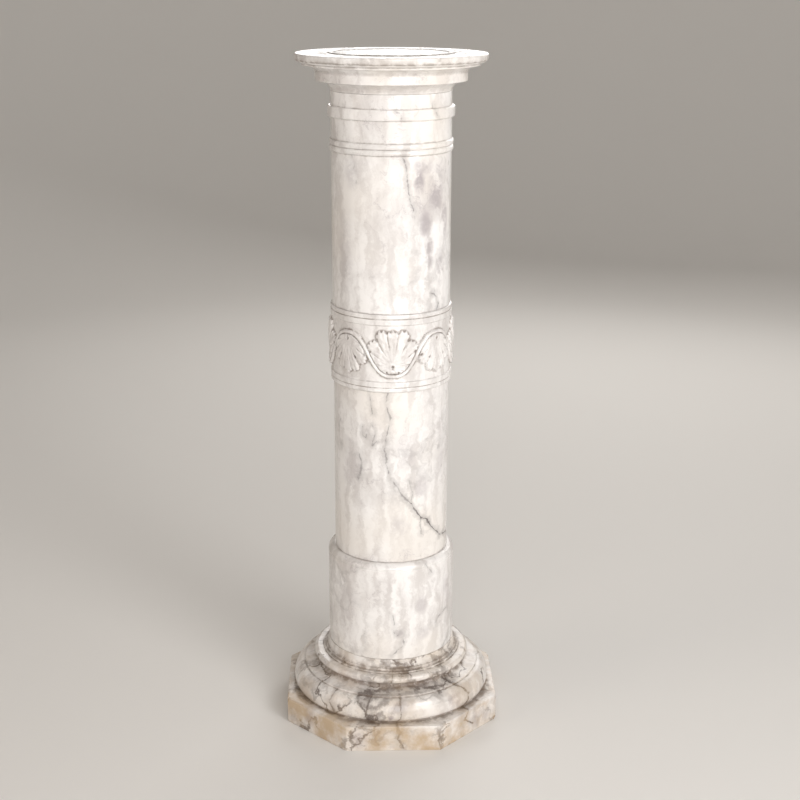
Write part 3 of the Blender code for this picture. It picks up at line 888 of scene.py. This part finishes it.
WHITE = colour(0.87, 0.85, 0.835)
WARM_WHITE = colour(0.80, 0.745, 0.68)
CLOUD_GREY = colour(0.57, 0.535, 0.515)
LILAC_GREY = colour(0.40, 0.36, 0.37)
VEIN_GREY = colour(0.10, 0.085, 0.085)
TAN = colour(0.50, 0.365, 0.225)
BROWN = colour(0.115, 0.070, 0.038)


def vein_lines(paint, flat, radius, veins, thickness):
    """Darkness of the drawn veins: each is a chain of short strokes on the unrolled surface, with a dark core
    and a faint halo."""
    darkness = 0.0
    for width, strength, points in veins:
        nearest = None
        unrolled = [Vector((math.radians(angle) * radius, height, 0.0)) for angle, height in points]
        for start, end in zip(unrolled, unrolled[1:]):
            stroke = end - start
            offset = paint.vectors("SUBTRACT", flat, start)
            share = paint.vectors("DOT_PRODUCT", offset, stroke / stroke.length_squared, "Value")
            share = paint.maths("ADD", Value(paint, share), 0.0, clamp=True)
            away = Value(paint, paint.vectors("DISTANCE", offset, paint.scaled(stroke, share), "Value"))
            nearest = away if nearest is None else paint.maths("MINIMUM", nearest, away)
        nearest = nearest * thickness
        core = 1 - paint.smooth(nearest, 0.0, 0.8 * width * MM)
        halo = 1 - paint.smooth(nearest, 0.0, 3.6 * width * MM)
        darkness = paint.maths("MAXIMUM", strength * paint.maths("MAXIMUM", core, 0.34 * halo), darkness)
    return darkness


def soft_patches(paint, flat, radius, patches):
    """Strength of the grey patches, which are ellipses on the unrolled surface that fade at their edges."""
    total = 0.0
    for angle, height, half_width, half_height, strength in patches:
        centre = Vector((math.radians(angle) * radius, height, 0.0))
        stretch = Vector((1 / (half_width * MM), 1 / (half_height * MM), 0.0))
        offset = paint.vectors("MULTIPLY", paint.vectors("SUBTRACT", flat, centre), stretch)
        away = Value(paint, paint.vectors("LENGTH", offset, offset, "Value"))
        total = paint.maths("MAXIMUM", strength * (1 - paint.smooth(away, 0.25, 1.0)), total)
    return total


def marble(name, radius, veins=(), patches=(), stained=0.0, shift=(0, 0, 0), veined=0.5, front=0.25, net=0.0):
    """Polished white marble with clouds, a vertical grain, fine and broad veins, and brown dirt with painted
    shade in its hollows, and on the cap's top a painted dark reflection. Stained says how tan it is, veined
    how strong its undrawn veins are, front how much of the broad ones the side with the drawn veins keeps,
    and net how strong a net of thin dark veins is."""
    paint = Paint(name)

    # Places on the stone, swayed and warped so that no line runs quite straight
    place = paint.vectors("ADD", paint.place, Vector(shift))
    split = paint.node("ShaderNodeSeparateXYZ", None, {0: paint.place})
    x, y, z = (Value(paint, split.outputs[axis]) for axis in "XYZ")
    around = paint.maths("ARCTAN2", x, 0 - y) * radius
    flat = paint.node("ShaderNodeCombineXYZ", None, {"X": around, "Y": z}).outputs[0]
    sway = paint.vectors("SUBTRACT", paint.noise(place, 38.0, 5.0, 0.62, "Color"), Vector((0.5, 0.5, 0.5)))
    flat = paint.vectors("ADD", flat, paint.scaled(sway, 12.0 * MM))
    warp = paint.vectors("ADD", place, paint.scaled(sway, 34.0 * MM))

    # Masks of the grain, clouds, hairlines, broad veins, net, drawn veins and patches
    grain_place = paint.vectors("MULTIPLY", warp, Vector((1.0, 1.0, 0.13)))
    grain = paint.noise(grain_place, 52.0, 4.0, 0.55)
    clouds = paint.noise(warp, 11.0, 4.0, 0.55)
    ridge = 1 - paint.maths("ABSOLUTE", paint.noise(warp, 7.5, 5.0, 0.55) * 2 - 1)
    places = paint.smooth(paint.noise(place, 6.0, 2.0), 0.45, 0.62)
    hair_ridge = 1 - paint.maths("ABSOLUTE", paint.noise(warp, 21.0, 4.0, 0.6) * 2 - 1)
    hairs = paint.smooth(hair_ridge, 0.965, 1.0) * paint.smooth(clouds, 0.48, 0.64)
    behind = paint.smooth(y, -0.25 * radius, 0.25 * radius)
    broad = paint.smooth(ridge, 0.935, 1.0) * places * (behind * (1 - front) + front)
    net_ridge = 1 - paint.maths("ABSOLUTE", paint.noise(warp, 13.0, 3.5, 0.52) * 2 - 1)
    netting = paint.smooth(net_ridge, 0.945, 1.0) * paint.smooth(clouds, 0.40, 0.56)
    thickness = 0.40 + 1.3 * paint.smooth(paint.noise(place, 70.0, 3.0, 0.6), 0.3, 0.75)
    drawn = vein_lines(paint, flat, radius, veins, thickness)
    mottle = paint.smooth(paint.noise(warp, 38.0, 4.0, 0.65), 0.34, 0.62)
    patch = soft_patches(paint, flat, radius, patches) * mottle

    # Colour, from the stone itself to the stain, and the dirt and painted shade on it
    body = paint.mixed(paint.smooth(grain, 0.40, 0.66) * 0.72, WHITE, CLOUD_GREY)
    body = paint.mixed(paint.smooth(clouds, 0.46, 0.70) * 0.55, body, CLOUD_GREY)
    body = paint.mixed(paint.smooth(paint.noise(place, 5.0, 2.0), 0.48, 0.68) * 0.5, body, WARM_WHITE)
    body = paint.mixed(patch, body, LILAC_GREY)
    body = paint.mixed(hairs * (0.15 + 0.4 * veined), body, LILAC_GREY)
    body = paint.mixed(broad * veined, body, VEIN_GREY)
    if net:
        body = paint.mixed(netting * net, body, VEIN_GREY)
    body = paint.mixed(drawn, body, VEIN_GREY)
    dirt_and_shade = Value(paint, paint.node("ShaderNodeAttribute", {"attribute_name": "dirt_and_shade"}).outputs["Fac"])
    uneven = paint.smooth(paint.noise(place, 90.0, 3.0, 0.6), 0.3, 0.62)
    if stained:
        stain = paint.smooth(paint.noise(place, 15.0, 5.0, 0.62), 0.38, 0.64)
        low_down = 0.45 + 0.55 * (1 - paint.smooth(z, 38 * MM, 50 * MM))
        body = paint.mixed((stain * 0.75 + 0.25) * low_down * stained, body, TAN)
    # Brown dirt and painted shade from the stored attribute, which on the cap's top is a painted dark
    # reflection
    dirt_and_shade_mix = paint.smooth(dirt_and_shade * (0.45 + 0.75 * uneven), 0.18, 1.0)
    body = paint.mixed(dirt_and_shade_mix * 0.62, body, BROWN)
    paint.feed(paint.shader.inputs["Base Color"], body)

    # Gloss, duller where the dirt and painted shade lie, and the slight unevenness of hand polished stone
    gloss_wear = paint.noise(place, 34.0, 4.0, 0.6)
    paint.feed(paint.shader.inputs["Roughness"], 0.08 + 0.18 * gloss_wear + 0.40 * dirt_and_shade_mix)
    pits = paint.noise(place, 420.0, 3.0, 0.6)
    waves = paint.noise(place, 22.0, 2.0, 0.5)
    height = pits * 0.00002 + waves * 0.00022
    bump = paint.node("ShaderNodeBump", None, {"Strength": 1.0, "Distance": 1.0, "Height": height})
    paint.feed(paint.shader.inputs["Normal"], bump.outputs[0])
    return paint.material


# Drawn veins of each block as (width in millimetres, strength, points), each point a turn from the front in
# degrees and a height in metres, and its grey patches as (degrees, metres, half width and half height in
# millimetres, strength)
LOWER_VEINS = (
    (2.4, 0.62, (
        (-6, 0.573), (-6, 0.554), (-4, 0.538), (-1.5, 0.529), (-5, 0.509), (-6.5, 0.493), (-8, 0.477),
        (-5, 0.463), (-6, 0.452), (-2.5, 0.434), (2.5, 0.419), (6.5, 0.4075), (12.6, 0.395), (18.8, 0.387),
    )),
    (2.8, 0.95, (
        (18.8, 0.387), (24.3, 0.374), (30, 0.361), (37.6, 0.3545), (41.7, 0.341), (49.4, 0.330), (59, 0.318),
        (74, 0.316), (88, 0.300),
    )),
    (1.8, 0.55, ((16.6, 0.426), (19.8, 0.4055), (18.8, 0.387))),
    (2.0, 0.55, ((30, 0.361), (29, 0.346), (30, 0.333))),
    (2.2, 0.60, ((-23.3, 0.564), (-22.3, 0.548), (-20.2, 0.534))),
    (1.8, 0.60, (
        (-31, 0.510), (-30, 0.496), (-26.7, 0.4936), (-24.5, 0.507), (-20.3, 0.5176), (-16.2, 0.5085),
    )),
    (2.0, 0.60, ((-16.2, 0.5085), (-19.3, 0.495), (-21.4, 0.4816), (-16, 0.489))),
    (3.0, 0.55, ((-34.7, 0.466), (-31.3, 0.450), (-34.9, 0.425))),
    (2.0, 0.55, ((-61, 0.514), (-66, 0.500))),
    (2.0, 0.50, ((-62, 0.474), (-61, 0.466))),
)
LOWER_PATCHES = (
    (14, 0.47, 22, 40, 0.38), (30, 0.41, 20, 30, 0.42), (-45, 0.44, 28, 90, 0.30), (4, 0.35, 26, 22, 0.30),
    (58, 0.47, 14, 60, 0.25),
)
UPPER_VEINS = (
    (2.2, 0.75, ((9.3, 0.924), (12, 0.907), (14, 0.892), (15, 0.875), (17, 0.857), (19, 0.846))),
    (2.0, 0.75, ((39.6, 0.720), (46.5, 0.712), (49.7, 0.7016), (46.7, 0.688))),
    (2.6, 0.35, ((-40.3, 0.926), (-36.9, 0.902), (-35.8, 0.885))),
    (1.8, 0.55, ((2.6, 0.9905), (6.9, 0.989), (7.8, 0.982))),
    (1.8, 0.45, ((36, 1.017), (41, 0.994), (44, 0.982))),
)
UPPER_PATCHES = (
    (26, 0.889, 14, 30, 0.9), (46, 0.87, 24, 50, 0.8), (33, 0.825, 16, 30, 0.8), (37, 0.79, 13, 20, 0.75),
    (37, 0.768, 12, 16, 0.7), (52, 0.755, 14, 34, 0.75), (60, 0.83, 14, 50, 0.6), (-40, 0.90, 20, 34, 0.4),
    (-50, 0.78, 22, 90, 0.35), (30, 0.91, 26, 18, 0.6),
)
DRUM_VEINS = (
    (2.0, 0.55, ((0.5, 0.203), (1.4, 0.1855), (2.3, 0.164), (6.8, 0.169), (10.4, 0.179))),
    (2.0, 0.60, ((-1.3, 0.131), (4, 0.141), (10.5, 0.149), (9.5, 0.162))),
    (2.4, 0.60, ((42.9, 0.1766), (48.3, 0.1856), (54.6, 0.190), (60, 0.193))),
    (2.0, 0.50, ((52, 0.124), (63, 0.137), (68, 0.147))),
    (1.8, 0.45, ((-26.4, 0.172), (-24.5, 0.1515), (-24.5, 0.137))),
    (1.8, 0.50, ((32.7, 0.282), (38.5, 0.263))),
)
DRUM_PATCHES = (
    (-5, 0.25, 10, 16, 0.4), (28, 0.215, 16, 22, 0.5), (30, 0.165, 18, 16, 0.45), (6, 0.170, 12, 12, 0.5),
    (-45, 0.2, 30, 60, 0.3), (60, 0.22, 20, 40, 0.35),
)
BASE_VEINS = (
    (5.0, 1.0, ((41, 0.085), (47, 0.075), (50, 0.063), (50, 0.052), (45, 0.043), (42, 0.030), (48, 0.015))),
    (4.0, 0.9, ((-14, 0.080), (-15, 0.065), (-16, 0.052), (-12, 0.046))),
    (4.0, 0.9, ((4, 0.080), (5, 0.062), (4, 0.050), (2, 0.044), (4, 0.034), (2, 0.020), (5, 0.005))),
    (3.4, 0.85, ((-38, 0.078), (-40, 0.064), (-36, 0.052))),
    (4.2, 0.9, ((-22, 0.0800), (-10, 0.0835), (2, 0.085), (12, 0.086), (24, 0.084), (32, 0.079))),
    (3.0, 0.8, ((0, 0.108), (-1, 0.095), (1, 0.087))),
    (3.6, 0.75, ((-8, 0.036), (-10, 0.022), (-8, 0.010))),
)
BASE_PATCHES = (
    (-1, 0.053, 8, 6, 1.0), (-34, 0.092, 70, 10, 0.85), (24, 0.090, 60, 8, 0.7), (-50, 0.030, 16, 22, 1.0),
    (38, 0.060, 24, 26, 0.7), (4, 0.070, 30, 16, 0.6), (55, 0.02, 30, 20, 0.6), (-18, 0.02, 16, 26, 0.6),
)


def studio():
    """Plain pale floor that turns up into a backdrop all round, soft lights and the photograph's camera."""
    bowl = Outline(FLOOR_RADIUS, 0.0)
    bowl.curve(FLOOR_CURVE, FLOOR_CURVE, rises_first=False, steps=3 * CURVE_STEPS)
    bowl.line(up=FLOOR_WALL)
    floor = turned_block("floor", bowl.points)
    make_active(floor)
    bpy.ops.object.mode_set(mode="EDIT")
    bpy.ops.mesh.select_all(action="DESELECT")
    bpy.ops.object.mode_set(mode="OBJECT")
    for face in floor.data.polygons:
        face.select = face.normal.z > 0.99 and face.center.z > FLOOR_CURVE
    bpy.ops.object.mode_set(mode="EDIT")
    bpy.ops.mesh.delete(type="FACE")
    bpy.ops.object.mode_set(mode="OBJECT")
    smooth_faces(floor)
    paint = Paint("pale_floor")
    paint.feed(paint.shader.inputs["Base Color"], colour(0.80, 0.78, 0.75))
    paint.feed(paint.shader.inputs["Roughness"], 0.8)
    floor.data.materials.append(paint.material)

    scene = bpy.context.scene
    scene.view_settings.view_transform = "Standard"
    world = bpy.data.worlds.new("studio")
    world.use_nodes = True
    background = world.node_tree.nodes["Background"]
    background.inputs["Color"].default_value = colour(0.84, 0.80, 0.76)
    background.inputs["Strength"].default_value = 0.26
    scene.world = world

    soft_light("window", (0.85, -2.9, 1.25), 3.0, 2.0, 69.0, (1.0, 0.99, 0.985))
    soft_light("key", (1.5, -1.8, 1.9), 0.9, 1.2, 21.0, (1.0, 0.985, 0.975))
    soft_light("left", (-2.4, -1.0, 1.4), 1.0, 1.8, 10.0, (1.0, 0.88, 0.77))
    soft_light("back", (0.8, 2.6, 1.8), 2.4, 1.4, 30.0, (1.0, 0.98, 0.96))

    turn = Matrix.Rotation(math.radians(CAMERA_TURN), 4, "Z")
    lens = bpy.data.cameras.new("photograph")
    lens.lens = CAMERA_LENS
    lens.sensor_width = 36.0
    camera = bpy.data.objects.new("photograph", lens)
    tilt = Matrix.Rotation(math.radians(90 - CAMERA_PITCH), 4, "X")
    roll = Matrix.Rotation(math.radians(CAMERA_ROLL), 4, "Z")
    stand = Matrix.Translation((CAMERA_ASIDE, -CAMERA_DISTANCE, CAMERA_HEIGHT))
    camera.matrix_world = turn @ stand @ tilt @ roll
    scene.collection.objects.link(camera)
    scene.camera = camera


def soft_light(name, place, width, height, power, tint):
    """Large soft panel that faces the middle of the column."""
    data = bpy.data.lights.new(name, "AREA")
    data.shape = "RECTANGLE"
    data.size = width
    data.size_y = height
    data.energy = power
    data.color = tint
    light = bpy.data.objects.new(name, data)
    aim = Vector((0, 0, 0.6)) - Vector(place)
    light.matrix_world = Matrix.Translation(place) @ aim.to_track_quat("-Z", "Y").to_matrix().to_4x4()
    bpy.context.scene.collection.objects.link(light)


def finish_block(block, node, material):
    """Gives a block its marble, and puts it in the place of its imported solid."""
    block.data.materials.clear()
    block.data.materials.append(material)
    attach(block, "root")
    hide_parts(node)


def main():
    """Sets the stage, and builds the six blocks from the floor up."""
    studio()
    finish_block(base_block(), "base", marble(
        "base_marble", BASE_UNROLLED, BASE_VEINS, BASE_PATCHES,
        stained=0.9, shift=(0.3, 0.1, 0.0), veined=0.75, front=0.8, net=0.9,
    ))
    finish_block(drum_block(), "foot_drum", marble(
        "drum_marble", DRUM_UNROLLED, DRUM_VEINS, DRUM_PATCHES,
        stained=0.10, shift=(0.0, 0.6, 0.2), veined=0.6,
    ))
    finish_block(lower_shaft_block(), "lower_shaft", marble(
        "lower_shaft_marble", SHAFT_UNROLLED, LOWER_VEINS, LOWER_PATCHES, shift=(1.1, 0.0, 0.4), veined=0.6,
    ))
    finish_block(carved_band(), "vine_band", marble(
        "band_marble", BAND_UNROLLED, stained=0.06, shift=(0.0, 2.0, 0.0), veined=0.25,
    ))
    finish_block(upper_shaft_block(), "upper_shaft", marble(
        "upper_shaft_marble", SHAFT_UNROLLED, UPPER_VEINS, UPPER_PATCHES, shift=(2.4, 0.7, 0.0), veined=0.6,
    ))
    finish_block(cap_block(), "cap", marble(
        "cap_marble", CAP_UNROLLED, stained=0.08, shift=(0.4, 3.1, 0.0), veined=0.6,
    ))


main()
